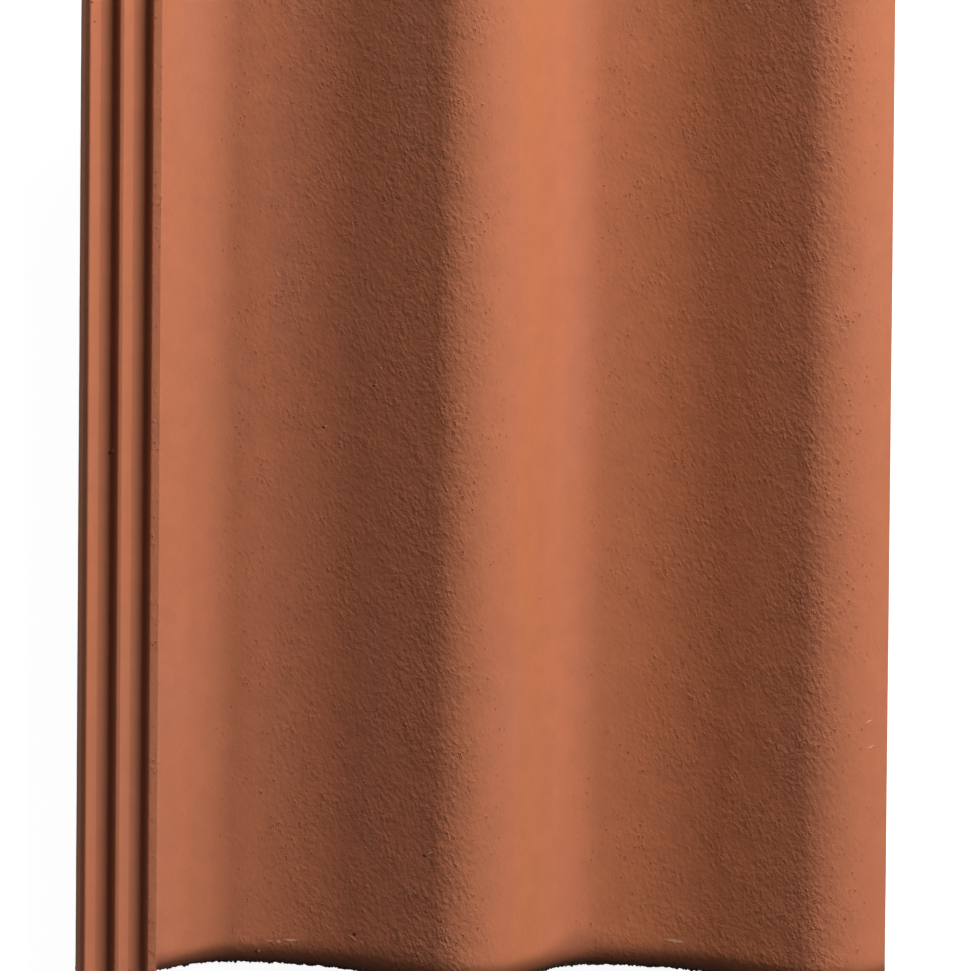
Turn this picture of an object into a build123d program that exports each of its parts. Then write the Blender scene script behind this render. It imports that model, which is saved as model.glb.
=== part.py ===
from build123d import *
import os
from math import asin, atan2, cos, degrees, hypot, radians, sin, sqrt, tan

# A double-pantile roof tile, cast as one piece of concrete.
# It is drawn in its own directions: X runs across the tile from the side lock on the left edge to the
# cover roll on the right edge, Y runs up the roof slope from the front edge to the head, and Z is up.
# The upper face has one section all along its length. The underside carries the ribs behind the front
# edge, the hanging nibs at the head and the blind nail holes.

# Overall sizes, in millimetres. The cover width is the pitch of the tiles along a course.
tile_length = 420.0
cover_width = 300.0
body_thickness = 12.0

# The wave of the upper face, which is steep on each roll's right and gentle on its left
roll_count = 2
wave_height = 36.0
crest_radius = 27.0
steep_run = 54.0
steep_flank_length = 26.0
gentle_flank_length = 38.0
roll_overhang = 22.0

# The side lock on the left edge
lock_groove_run = 11.3
lock_rib_height = 5.0
outer_wall_run = 3.4
outer_rib_top_width = 1.1
inner_rib_top_width = 2.2
rib_flank_run = 3.8
rib_flank_drop = 3.6
rib_wall_run = 0.4
shoulder_ledge_width = 4.0
shoulder_height = 17.0
lock_floor_thickness = 8.6
lock_foot_radius = 1.5
lock_foot_height = 3.0
rib_wall_radius = 1.1
rib_flank_radius = 0.6
groove_radius = 0.8

# The cover lock under the right-hand roll, which lies over the next tile's side lock
edge_gap = 1.3
joint_clearance = 1.2
lip_width = 4.4
lip_draft_run = 0.5
lip_radius = 0.9
seat_width = 2.6
cover_edge_radius = 1.6

# The rounded front edge
nose_radius = 11.0

# The transverse ribs under the front edge
foot_rib_count = 3
foot_rib_depth = 5.0
foot_rib_width = 7.0
foot_rib_gap = 9.0
first_rib_setback = 3.0
foot_rib_radius = 1.5

# The hanging nibs under the head
nib_width = 38.0
nib_length = 15.0
nib_depth = 14.0
nib_draft_angle = 10.0
nib_face_setback = 22.0
nib_radius = 2.0
nib_root_depth = 4.0

# The blind nail holes under the head
nail_hole_diameter = 5.5
nail_skin_thickness = 2.0
batten_width = 44.0

# A face looks up or down where its normal leans at least this share of its length that way
facing_up_share = 0.3

# How far a cutting or joining body reaches past the face that it works on
overrun = 1.0

# Points of the section that lie closer than this are one point
point_tolerance = 1e-6

# The side lock's levels and places, measured across the tile from its left edge. A rib has a steep
# wall on its outer side and a flank on its inner side. From the flank's foot a groove's floor falls
# to the foot of the next wall.
flank_foot_height = shoulder_height - rib_flank_drop
lock_floor_height = shoulder_height - lock_rib_height
lock_bottom_height = lock_floor_height - lock_floor_thickness
inner_rib_x = outer_wall_run + outer_rib_top_width + lock_groove_run
rib_x = [outer_wall_run, inner_rib_x]
flank_x = [outer_wall_run + outer_rib_top_width, inner_rib_x + inner_rib_top_width]
groove_x = [x + (rib_flank_run + lock_groove_run - rib_wall_run) / 2 for x in flank_x]
ledge_x = flank_x[-1] + lock_groove_run
shoulder_x = ledge_x + shoulder_ledge_width

# The right-hand edge stops short of the next tile's shoulder, and its lips stand over the next grooves
tile_width = cover_width + shoulder_x - edge_gap
inner_lip_x, outer_lip_x = [x + cover_width for x in groove_x]
seat_height = shoulder_height + joint_clearance
lip_height = flank_foot_height + joint_clearance

# The rolls' places and the arches under them
wave_pitch = cover_width / roll_count
gentle_run = wave_pitch - steep_run
crest_x = [tile_width - roll_overhang - wave_pitch * i for i in reversed(range(roll_count))]
trough_x = [x - gentle_run for x in crest_x]
crest_centre_height = wave_height - crest_radius
ceiling_radius = crest_radius - body_thickness
nib_face_y = tile_length - nib_face_setback


def flank_angle(run, flank_length):
    """Slope in degrees of a straight flank that joins a crest arc and a trough arc over that run."""
    return degrees(2 * atan2(wave_height, run + flank_length))


def trough_radius(run, flank_length):
    """Radius of the trough arc that such a flank touches."""
    slope = radians(flank_angle(run, flank_length))
    return (run - flank_length * cos(slope)) / sin(slope) - crest_radius


steep_angle = flank_angle(steep_run, steep_flank_length)
gentle_angle = flank_angle(gentle_run, gentle_flank_length)
steep_trough_radius = trough_radius(steep_run, steep_flank_length)
wide_trough_radius = trough_radius(gentle_run, gentle_flank_length)

# The straight flank from the shoulder down to the first trough touches the trough's steep arc
shoulder_run = trough_x[0] - shoulder_x
shoulder_rise = steep_trough_radius - shoulder_height
shoulder_reach = hypot(shoulder_run, shoulder_rise)
shoulder_angle = degrees(asin(steep_trough_radius / shoulder_reach) - atan2(shoulder_rise, shoulder_run))


def steep_trough_arc(x, depth, angle):
    """Arc from a flank of that slope to the trough's lowest line, that depth below the upper face."""
    return CenterArc((x, steep_trough_radius), steep_trough_radius + depth, 270 - angle, angle)


def wide_trough_arc(x, depth):
    """Arc from the trough's lowest line to the gentle flank, that depth below the upper face."""
    return CenterArc((x, wide_trough_radius), wide_trough_radius + depth, 270, gentle_angle)


def crest_arc(x, depth, end_angle):
    """Arc over a crest from the gentle flank to that end angle, that depth below the upper face."""
    start_angle = 90 + gentle_angle
    centre = (x, crest_centre_height)
    return CenterArc(centre, crest_radius - depth, start_angle, end_angle - start_angle)


def wave_arcs(depth, end_angle):
    """The arcs from the first trough to the last crest, that depth below the upper face."""
    arcs = [steep_trough_arc(trough_x[0], depth, shoulder_angle), wide_trough_arc(trough_x[0], depth)]
    for crest, trough in zip(crest_x, trough_x[1:]):
        arcs.append(crest_arc(crest, depth, 90 - steep_angle))
        arcs.append(steep_trough_arc(trough, depth, steep_angle))
        arcs.append(wide_trough_arc(trough, depth))
    arcs.append(crest_arc(crest_x[-1], depth, end_angle))
    return arcs


def reversed_arc(arc):
    """The same arc, run from its end to its start."""
    return ThreePointArc(arc @ 1, arc @ 0.5, arc @ 0)


def closed_face(curves):
    """The face inside a ring of curves, with a straight line across each gap between two of them."""
    edges = []
    for curve, following in zip(curves, curves[1:] + curves[:1]):
        edges += curve.edges()
        if (curve @ 1 - following @ 0).length > point_tolerance:
            edges.append(Line(curve @ 1, following @ 0))
    return make_face(edges)


def along_tile(section, start, length):
    """The section run up the tile by that length, from that distance behind the front edge."""
    return extrude(Plane.XZ.offset(-start) * section, length, dir=(0, 1, 0))


def wave_section():
    """The waved body's section, from the shoulder to the right-hand edge, where its corner is sharp."""
    edge_height = crest_centre_height + sqrt(crest_radius**2 - roll_overhang**2)
    edge_angle = degrees(atan2(edge_height - crest_centre_height, roll_overhang))
    lip_angle = degrees(asin((lip_height - crest_centre_height) / ceiling_radius))
    upper = wave_arcs(0, edge_angle)
    under = [reversed_arc(arc) for arc in reversed(wave_arcs(body_thickness, lip_angle))]
    flank = under[-1] @ 1
    lock_corner_x = flank.X - (lock_bottom_height - flank.Y) / tan(radians(shoulder_angle))
    shoulder = Polyline(
        (lock_corner_x, lock_bottom_height), (shoulder_x, lock_bottom_height), (shoulder_x, shoulder_height)
    )
    edge = FilletPolyline(
        upper[-1] @ 1,
        (tile_width, seat_height),
        (tile_width - seat_width, seat_height),
        (outer_lip_x + lip_width / 2, lip_height),
        under[0] @ 0,
        radius=lip_radius,
    )
    return closed_face([shoulder] + upper + [edge] + under)


def lip_section():
    """The inner lip's section, from its foot to its root inside the roll."""
    foot = lip_width / 2
    root = foot + lip_draft_run
    root_height = wave_height - body_thickness / 2
    lip = FilletPolyline(
        (inner_lip_x - root, root_height),
        (inner_lip_x - foot, lip_height),
        (inner_lip_x + foot, lip_height),
        (inner_lip_x + root, root_height),
        radius=lip_radius,
    )
    return closed_face([lip])


def lock_section():
    """The side lock's section, from its outer foot to the shoulder."""
    foot_top = lock_bottom_height + lock_foot_height
    points = [(shoulder_x, lock_bottom_height), (0, lock_bottom_height), (0, foot_top)]
    radii = [lock_foot_radius, rib_flank_radius]
    for wall_top, flank_top in zip(rib_x, flank_x):
        points.append((wall_top, shoulder_height))
        points.append((flank_top, shoulder_height))
        points.append((flank_top + rib_flank_run, flank_foot_height))
        points.append((flank_top + lock_groove_run - rib_wall_run, lock_floor_height))
        radii += [rib_wall_radius, rib_flank_radius, groove_radius, groove_radius]
    points += [(ledge_x, shoulder_height), (shoulder_x, shoulder_height)]
    radii.append(rib_wall_radius)
    return closed_face([FilletPolyline(*points, radius=radii)])


def nosed_wave():
    """The waved body with its front edge rounded over and its right-hand edge eased."""
    section = wave_section()
    sharp_corner = section.vertices().group_by(Axis.X)[-1].sort_by(Axis.Y)[-1]
    waste = section - fillet(sharp_corner, cover_edge_radius)
    body = along_tile(section, 0, tile_length)
    waved = body.faces().filter_by(lambda face: face.center().X > shoulder_x)
    upper = waved.filter_by(lambda face: face.normal_at().Z > facing_up_share)
    body = fillet(upper.edges().filter_by_position(Axis.Y, 0, 0), nose_radius)
    return body - along_tile(waste, -overrun, tile_length + 2 * overrun)


def foot_rib(start):
    """One rib under the front edge, which follows the underside's wave from the lock to the lips."""
    top = wave_arcs(body_thickness / 2, 90)
    bottom = [reversed_arc(arc) for arc in reversed(wave_arcs(body_thickness + foot_rib_depth, 90))]
    rib = along_tile(closed_face(top + bottom), start, foot_rib_width)
    lower = rib.faces().filter_by(lambda face: face.normal_at().Z < -facing_up_share)
    crossing = [edge for edge in lower.edges() if abs((edge @ 1 - edge @ 0).X) > overrun]
    return fillet(crossing, foot_rib_radius)


def hanging_nib(x):
    """A drafted nib under the trough at x, with one flat face towards the front edge."""
    root = Plane((x, nib_face_y, -nib_root_depth))
    reach = body_thickness - nib_root_depth + nib_depth
    flare = reach * tan(radians(nib_draft_angle))
    outline = RectangleRounded(nib_width + 2 * flare, 2 * (nib_length + flare), nib_radius + flare)
    nib = extrude(root * outline, -reach, taper=nib_draft_angle)
    return split(nib, Plane((x, nib_face_y, 0), z_dir=(0, 1, 0)), keep=Keep.TOP)


def nail_hole(x):
    """The blind hole under the trough at x, over the middle of the batten."""
    y = nib_face_y - batten_width / 2
    depth = body_thickness - nail_skin_thickness
    mouth = Plane((x, y, -body_thickness - overrun))
    return extrude(mouth * Circle(nail_hole_diameter / 2), depth + overrun)


def lying_down(tile):
    """The tile turned as it lies on a level floor, over an origin at the middle of its lower side."""
    rib_y = first_rib_setback + foot_rib_radius
    rib_drop = body_thickness + foot_rib_depth - foot_rib_radius
    nib_drop = body_thickness + nib_depth
    run = nib_face_y - rib_y
    drop = nib_drop - rib_drop
    tilt = degrees(atan2(drop, run) - asin(foot_rib_radius / hypot(drop, run)))
    turned = Rot(tilt, 0, 0) * tile
    box = turned.bounding_box()
    return Pos(-box.center().X, -box.center().Y, -box.min.Z) * turned


def roof_tile():
    """The whole tile, in its own directions."""
    tile = nosed_wave()
    tile += along_tile(lock_section(), 0, tile_length)
    tile += along_tile(lip_section(), 0, tile_length)
    for i in range(foot_rib_count):
        tile += foot_rib(first_rib_setback + i * (foot_rib_width + foot_rib_gap))
    for x in trough_x:
        tile += hanging_nib(x)
        tile -= nail_hole(x)
    return tile


os.makedirs("parts", exist_ok=True)
export_step(lying_down(roof_tile()), "parts/roof_tile.step")
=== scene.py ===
"""Looks of a double-pantile concrete roof tile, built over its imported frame.

The tile is drawn in millimetres in its own directions: X runs across it from the side lock to the cover
roll, Y runs up the slope from the front edge to the head, and Z is up. It is then turned as it lies on
the floor and brought to metres in the frame's directions.
"""

import logging
import math
from dataclasses import dataclass, field
from enum import Enum
from typing import Any

import bmesh
import bpy
import numpy as np
from bpy.types import Material, Mesh, Node, NodeSocket, Object
from mathutils import Matrix, Vector
from mathutils.bvhtree import BVHTree


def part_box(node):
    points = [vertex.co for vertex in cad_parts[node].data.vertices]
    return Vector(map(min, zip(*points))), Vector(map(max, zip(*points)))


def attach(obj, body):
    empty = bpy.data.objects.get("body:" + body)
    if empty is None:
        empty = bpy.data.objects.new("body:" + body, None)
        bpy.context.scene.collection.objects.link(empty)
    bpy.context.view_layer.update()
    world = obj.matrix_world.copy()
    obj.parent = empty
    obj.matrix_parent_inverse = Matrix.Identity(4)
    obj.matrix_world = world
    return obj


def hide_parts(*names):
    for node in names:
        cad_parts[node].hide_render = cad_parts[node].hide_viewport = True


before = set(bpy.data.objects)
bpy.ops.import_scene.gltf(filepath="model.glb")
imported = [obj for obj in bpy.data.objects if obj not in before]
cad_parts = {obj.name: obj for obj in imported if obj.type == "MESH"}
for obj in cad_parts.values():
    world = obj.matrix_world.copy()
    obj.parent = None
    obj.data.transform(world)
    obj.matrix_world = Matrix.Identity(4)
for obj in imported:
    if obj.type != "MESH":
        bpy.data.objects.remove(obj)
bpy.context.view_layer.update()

log = logging.getLogger("roof_tile")

NODE_NAME = "roof_tile"
METRES_PER_MM = 0.001
MERGE_DISTANCE = 0.002  # mm
FULL_TURN = 360.0
SHARP_ANGLE = 24.0  # degrees, from which an edge stays sharp
THROUGH = 1.0e6  # mm, so deep that a mark's own height doesn't count
MARK_FADE = (1.2, 0.4)  # shares of a mark's half size, where it starts and where it is full
RAGGED_SIZE = 0.7  # mm
RAGGED_REACH = (1.0, -0.8, 0.0)  # mm
NOISE_MIDDLE = 0.5
LEAST_STEPS = 3  # along any arc
QUAD = 4  # corners
WHITE = (1.0, 1.0, 1.0, 1.0)

Rgba = tuple[float, float, float, float]
Triple = tuple[float, float, float]


class Side(Enum):
    """On which side of an arc's line the concrete lies."""

    INSIDE = 1
    OUTSIDE = -1


class Attribute(Enum):
    """Point values that the geometry and the finish share."""

    COAT = "coat"
    WALL_TONE_AND_PAINTED_FILL = "wall_tone_and_painted_fill"
    EDGE = "edge"
    GRAIN = "grain"
    GROOVE_SHADE = "groove_shade"


# The section across the tile

@dataclass(frozen=True)
class TileSizes:
    """The tile's driving sizes in millimetres and degrees, as in its drawing."""

    length: float = 420.0
    cover_width: float = 300.0
    thickness: float = 12.0
    wave_height: float = 36.0
    crest_radius: float = 27.0
    steep_run: float = 54.0
    steep_flank: float = 26.0
    gentle_flank: float = 38.0
    roll_overhang: float = 22.0
    groove_run: float = 11.3
    rib_height: float = 5.0
    outer_wall_run: float = 3.4
    outer_rib_top: float = 1.1
    inner_rib_top: float = 2.2
    rib_flank_run: float = 3.8
    rib_flank_drop: float = 3.6
    rib_wall_run: float = 0.4
    ledge_width: float = 4.0
    shoulder_height: float = 17.0
    floor_thickness: float = 8.6
    foot_radius: float = 1.5
    foot_height: float = 3.0
    wall_radius: float = 1.1
    flank_radius: float = 0.6
    groove_radius: float = 0.8
    edge_gap: float = 1.3
    clearance: float = 1.2
    lip_width: float = 4.4
    lip_draft_run: float = 0.5
    lip_radius: float = 0.9
    seat_width: float = 2.6
    cover_edge_radius: float = 1.6
    nose_radius: float = 11.0

    @property
    def flank_foot(self) -> float:
        """Level of the foot of a lock rib's flank, from which the groove's floor falls."""
        return self.shoulder_height - self.rib_flank_drop

    @property
    def floor_height(self) -> float:
        """Lowest level of the lock's grooves, at the foot of the next wall."""
        return self.shoulder_height - self.rib_height

    @property
    def bottom_height(self) -> float:
        """Level of the lock's lower side."""
        return self.floor_height - self.floor_thickness

    @property
    def rib_x(self) -> tuple[float, float]:
        """Where the two lock ribs' flat tops start."""
        return self.outer_wall_run, self.flank_x[0] + self.groove_run

    @property
    def flank_x(self) -> tuple[float, float]:
        """Where the two lock ribs' flanks start."""
        first = self.outer_wall_run + self.outer_rib_top
        return first, first + self.groove_run + self.inner_rib_top

    @property
    def groove_x(self) -> tuple[float, float]:
        """Middles of the two lock grooves."""
        middle = (self.rib_flank_run + self.groove_run - self.rib_wall_run) / 2
        return self.flank_x[0] + middle, self.flank_x[1] + middle

    @property
    def ledge_x(self) -> float:
        """Where the shoulder's flat ledge starts."""
        return self.flank_x[1] + self.groove_run

    @property
    def shoulder_x(self) -> float:
        """Where the ledge ends and the wave starts."""
        return self.ledge_x + self.ledge_width

    @property
    def width(self) -> float:
        """Whole width across the tile."""
        return self.cover_width + self.shoulder_x - self.edge_gap

    @property
    def lip_x(self) -> tuple[float, float]:
        """Middles of the inner and the outer lip, which stand over the next tile's grooves."""
        return self.groove_x[0] + self.cover_width, self.groove_x[1] + self.cover_width

    @property
    def seat_height(self) -> float:
        """Level of the seat beside the outer lip."""
        return self.shoulder_height + self.clearance

    @property
    def lip_height(self) -> float:
        """Level of the lips' feet."""
        return self.flank_foot + self.clearance

    @property
    def pitch(self) -> float:
        """Distance between the two rolls."""
        return self.cover_width / 2

    @property
    def gentle_run(self) -> float:
        """Run of the gentle side of a roll."""
        return self.pitch - self.steep_run

    @property
    def crest_x(self) -> tuple[float, float]:
        """Middles of the two rolls."""
        last = self.width - self.roll_overhang
        return last - self.pitch, last

    @property
    def trough_x(self) -> tuple[float, float]:
        """Lowest lines of the two troughs."""
        return self.crest_x[0] - self.gentle_run, self.crest_x[1] - self.gentle_run

    @property
    def crest_centre(self) -> float:
        """Level of a crest arc's centre."""
        return self.wave_height - self.crest_radius

    def flank_angle(self, run: float, flank: float) -> float:
        """Slope in degrees of a straight flank between a crest arc and a trough arc."""
        return math.degrees(2 * math.atan2(self.wave_height, run + flank))

    @property
    def steep_angle(self) -> float:
        """Slope of a roll's steep flank."""
        return self.flank_angle(self.steep_run, self.steep_flank)

    @property
    def gentle_angle(self) -> float:
        """Slope of a roll's gentle flank."""
        return self.flank_angle(self.gentle_run, self.gentle_flank)

    def trough_radius(self, run: float, flank: float) -> float:
        """Radius of the trough arc that a flank of that length touches."""
        slope = math.radians(self.flank_angle(run, flank))
        return (run - flank * math.cos(slope)) / math.sin(slope) - self.crest_radius

    @property
    def steep_trough(self) -> float:
        """Radius of a trough's tighter arc."""
        return self.trough_radius(self.steep_run, self.steep_flank)

    @property
    def wide_trough(self) -> float:
        """Radius of a trough's wide arc."""
        return self.trough_radius(self.gentle_run, self.gentle_flank)

    @property
    def shoulder_angle(self) -> float:
        """Slope of the flank that falls from the shoulder to the first trough."""
        run = self.trough_x[0] - self.shoulder_x
        rise = self.steep_trough - self.shoulder_height
        reach = math.hypot(run, rise)
        return math.degrees(math.asin(self.steep_trough / reach) - math.atan2(rise, run))


def unit(angle: float) -> np.ndarray:
    """The unit vector at that angle in degrees."""
    return np.array([math.cos(math.radians(angle)), math.sin(math.radians(angle))])


def spread(start: float, end: float, count: int) -> np.ndarray:
    """Evenly spaced values from start to end, both of them included."""
    return np.linspace(start, end, max(count, 1) + 1)


@dataclass(frozen=True)
class Arc:
    """One arc of the wave, with the concrete inside or outside its circle."""

    centre: tuple[float, float]
    radius: float
    start: float
    end: float
    side: Side

    def points(self, depth: float, count: int, end: float | None = None) -> np.ndarray:
        """Points along the arc.

        Args:
            depth: How far below the upper face the line runs.
            count: Number of steps along the arc.
            end: The angle to stop at instead of the arc's own end.

        Returns:
            The points, one row each.
        """
        radius = self.radius - depth * self.side.value
        angles = np.radians(spread(self.start, self.end if end is None else end, count))
        return np.array(self.centre) + radius * np.column_stack((np.cos(angles), np.sin(angles)))

    @property
    def length(self) -> float:
        """Length of the arc on the upper face."""
        return abs(math.radians(self.end - self.start)) * self.radius

    def count(self, step: float) -> int:
        """Number of steps of about that length along the arc."""
        return max(LEAST_STEPS, round(self.length / step))


def rounded_path(points: list[tuple[float, float]], radii: list[float], steps: int = 5) -> np.ndarray:
    """A path of straight runs with its inner corners rounded.

    Args:
        points: The path's corners.
        radii: The radius of each corner but the first and last.
        steps: Number of steps round each corner.

    Returns:
        The points of the rounded path.
    """
    corners = [np.array(p, float) for p in points]
    out = [corners[0]]
    for before, corner, after, radius in zip(corners, corners[1:], corners[2:], radii):
        back = (before - corner) / np.linalg.norm(before - corner)
        ahead = (after - corner) / np.linalg.norm(after - corner)
        half = math.acos(float(np.clip(back @ ahead, -1, 1))) / 2
        middle = back + ahead
        centre = corner + middle / np.linalg.norm(middle) * radius / math.sin(half)
        reach = radius / math.tan(half)
        first, last = corner + back * reach - centre, corner + ahead * reach - centre
        turn = math.pi - 2 * half
        for share in spread(0, 1, steps):
            weights = math.sin((1 - share) * turn), math.sin(share * turn)
            out.append(centre + (first * weights[0] + last * weights[1]) / math.sin(turn))
    out.append(corners[-1])
    return np.array(out)


def filled(path: np.ndarray, step: float) -> np.ndarray:
    """Divides a path's long runs.

    Args:
        path: The points of the path.
        step: The longest run that is left.

    Returns:
        The points of the divided path.
    """
    out = [path[:1]]
    for a, b in zip(path, path[1:]):
        count = max(1, math.ceil(float(np.linalg.norm(b - a)) / step))
        out.append(a + (b - a) * spread(0, 1, count)[1:, None])
    return np.concatenate(out)


@dataclass
class TileSection:
    """The ring of points round the tile's section, which a row may draw with its upper face sunk."""

    sizes: TileSizes
    upper_step: float = 1.4
    lock_step: float = 2.0
    under_step: float = 4.0
    rounding_steps: int = 6
    waves: list[Arc] = field(init=False)
    lock: np.ndarray = field(init=False)
    edge: np.ndarray = field(init=False)
    under: np.ndarray = field(init=False)

    def __post_init__(self) -> None:
        """Draws the parts of the ring that keep their shape in every row."""
        self.waves = self.wave_arcs()
        self.lock = filled(self.lock_path(), self.lock_step)
        self.edge = filled(self.edge_path(), self.lock_step)
        self.under = self.under_path()

    def wave_arcs(self) -> list[Arc]:
        """Draws the upper face's arcs from the first trough to the last crest.

        Returns:
            The arcs, from left to right.
        """
        s = self.sizes
        arcs = []
        for index, (trough, crest) in enumerate(zip(s.trough_x, s.crest_x)):
            slope = s.steep_angle if index else s.shoulder_angle
            arcs.append(Arc((trough, s.steep_trough), s.steep_trough, 270 - slope, 270, Side.OUTSIDE))
            wide = Arc((trough, s.wide_trough), s.wide_trough, 270, 270 + s.gentle_angle, Side.OUTSIDE)
            arcs.append(wide)
            last = index == len(s.crest_x) - 1
            end = self.cover_edge_angle() if last else 90 - s.steep_angle
            start = 90 + s.gentle_angle
            arcs.append(Arc((crest, s.crest_centre), s.crest_radius, start, end, Side.INSIDE))
        return arcs

    def cover_edge_centre(self) -> tuple[float, float]:
        """Centre of the rounding between the last roll and the right-hand edge."""
        s = self.sizes
        run = s.roll_overhang - s.cover_edge_radius
        reach = s.crest_radius - s.cover_edge_radius
        return s.crest_x[1] + run, s.crest_centre + math.sqrt(reach**2 - run**2)

    def crest_angle(self, point: np.ndarray | tuple[float, float]) -> float:
        """Angle of a point seen from the last crest arc's centre."""
        s = self.sizes
        return math.degrees(math.atan2(point[1] - s.crest_centre, point[0] - s.crest_x[1]))

    def cover_edge_angle(self) -> float:
        """Angle at which the last crest arc runs into that rounding."""
        return self.crest_angle(self.cover_edge_centre())

    def lock_path(self) -> np.ndarray:
        """Draws the side lock from its outer foot to the shoulder.

        Returns:
            The points of the path.
        """
        s = self.sizes
        foot = s.bottom_height + s.foot_height
        points = [(s.ledge_x, s.bottom_height), (0.0, s.bottom_height), (0.0, foot)]
        radii = [s.foot_radius, s.flank_radius]
        for top, flank in zip(s.rib_x, s.flank_x):
            points += [
                (top, s.shoulder_height),
                (flank, s.shoulder_height),
                (flank + s.rib_flank_run, s.flank_foot),
                (flank + s.groove_run - s.rib_wall_run, s.floor_height),
            ]
            radii += [s.wall_radius, s.flank_radius, s.groove_radius, s.groove_radius]
        points += [(s.ledge_x, s.shoulder_height), (s.shoulder_x, s.shoulder_height)]
        radii.append(s.wall_radius)
        return rounded_path(points, radii)

    def edge_path(self) -> np.ndarray:
        """Draws the right-hand edge from the last roll's rounding to the outer lip's foot.

        Returns:
            The points of the path.
        """
        s = self.sizes
        centre = np.array(self.cover_edge_centre())
        angles = spread(self.cover_edge_angle(), 0, self.rounding_steps)
        rounding = np.array([centre + s.cover_edge_radius * unit(a) for a in angles])
        foot_x = s.crest_x[1] + (s.crest_radius - s.thickness) * math.cos(math.radians(self.lip_angle()))
        lip = s.lip_x[1] + s.lip_width / 2
        corners = [
            tuple(rounding[-1]),
            (s.width, s.seat_height),
            (s.width - s.seat_width, s.seat_height),
            (lip, s.lip_height),
            (foot_x, s.lip_height),
        ]
        return np.concatenate((rounding, rounded_path(corners, [s.lip_radius] * 3)[1:]))

    def lip_angle(self) -> float:
        """Angle at which the ceiling of the cover roll meets the outer lip's foot."""
        s = self.sizes
        return math.degrees(math.asin((s.lip_height - s.crest_centre) / (s.crest_radius - s.thickness)))

    def inner_lip(self) -> np.ndarray:
        """Draws the inner lip from its right-hand root over its foot to its left-hand root.

        Returns:
            The points of the path.
        """
        s = self.sizes
        foot = s.lip_width / 2
        run = foot + s.lip_draft_run
        root = s.wave_height - s.thickness / 2
        middle = s.lip_x[0]
        corners = [(middle + run, root), (middle + foot, s.lip_height)]
        corners += [(middle - foot, s.lip_height), (middle - run, root)]
        path = filled(rounded_path(corners, [s.lip_radius] * 2), s.lip_radius / 2)
        offset = path - np.array([s.crest_x[1], s.crest_centre])
        return path[np.linalg.norm(offset, axis=1) < s.crest_radius - s.thickness]

    def under_path(self) -> np.ndarray:
        """Draws the underside from the outer lip's foot back to the lock.

        Returns:
            The points of the path.
        """
        s = self.sizes
        depth = s.thickness
        roof = Arc((s.crest_x[1], s.crest_centre), s.crest_radius, self.lip_angle(), 90, Side.INSIDE)
        lip = self.inner_lip()
        ends = [self.crest_angle(point) for point in (lip[0], lip[-1])]
        left = Arc(roof.centre, roof.radius, ends[1], 90 + s.gentle_angle, Side.INSIDE)
        step = self.under_step
        parts = [roof.points(depth, roof.count(step), ends[0]), lip, left.points(depth, left.count(step))]
        for arc in reversed(self.waves[:-1]):
            parts.append(arc.points(depth, arc.count(step))[::-1])
        flank = parts[-1][-1]
        corner_x = flank[0] - (s.bottom_height - flank[1]) / math.tan(math.radians(s.shoulder_angle))
        path = np.concatenate(parts + [np.array([[corner_x, s.bottom_height]])])
        keep = np.concatenate(([True], np.linalg.norm(np.diff(path, axis=0), axis=1) > MERGE_DISTANCE))
        return filled(path[keep], step)[1:]

    def upper_points(self, depth: float) -> np.ndarray:
        """Draws the upper face of the wave.

        Args:
            depth: How far the face is sunk.

        Returns:
            The points from the shoulder to the right-hand edge.
        """
        s = self.sizes
        parts = [self.shoulder_flank(depth)]
        for index, arc in enumerate(self.waves):
            last = index == len(self.waves) - 1
            end = self.cut_angle(depth) if last else None
            line = arc.points(depth, arc.count(self.upper_step), end)
            previous = parts[-1][-1]
            gap = float(np.linalg.norm(line[0] - previous))
            if gap > self.upper_step / 2:
                flank = s.gentle_flank if arc.side is Side.INSIDE else s.steep_flank
                shares = spread(0, 1, round(flank / self.upper_step))[1:-1, None]
                parts.append(previous + (line[0] - previous) * shares)
                parts.append(line)
            else:
                parts.append(line[1:])
        return np.concatenate(parts)

    def shoulder_flank(self, depth: float) -> np.ndarray:
        """Draws the flank from the shoulder's upright plane to the first trough.

        Args:
            depth: How far the face is sunk.

        Returns:
            The points of the flank.
        """
        s = self.sizes
        top = s.shoulder_height - depth / math.cos(math.radians(s.shoulder_angle))
        first = np.array([s.shoulder_x, top])
        last = self.waves[0].points(depth, 1)[0]
        whole = np.linalg.norm(self.waves[0].points(0, 1)[0] - np.array([s.shoulder_x, s.shoulder_height]))
        return first + (last - first) * spread(0, 1, round(float(whole) / self.upper_step))[:, None]

    def edge_reach(self) -> np.ndarray:
        """How far each point of the right-hand edge lies from the last crest arc's centre."""
        centre = np.array([self.sizes.crest_x[1], self.sizes.crest_centre])
        return np.linalg.norm(self.edge - centre, axis=1)

    def cut_point(self, depth: float) -> np.ndarray:
        """Finds where the sunk last roll meets the right-hand edge or its lip.

        Args:
            depth: How far the face is sunk.

        Returns:
            The point.
        """
        reach = self.edge_reach()
        wanted = self.sizes.crest_radius - depth
        return np.array([np.interp(-wanted, -reach, self.edge[:, axis]) for axis in (0, 1)])

    def cut_angle(self, depth: float) -> float:
        """Angle of that point seen from the last crest arc's centre."""
        return self.crest_angle(self.cut_point(depth))

    def ring(self, depth: float) -> np.ndarray:
        """Draws the whole ring.

        Args:
            depth: How far the wave's upper face is sunk.

        Returns:
            The points round the section.
        """
        sunk = self.edge_reach() > self.sizes.crest_radius - depth
        edge = np.where(sunk[:, None], self.cut_point(depth), self.edge)
        return np.concatenate((self.lock[1:], self.upper_points(depth), edge[1:], self.under))


# Meshes

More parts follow.
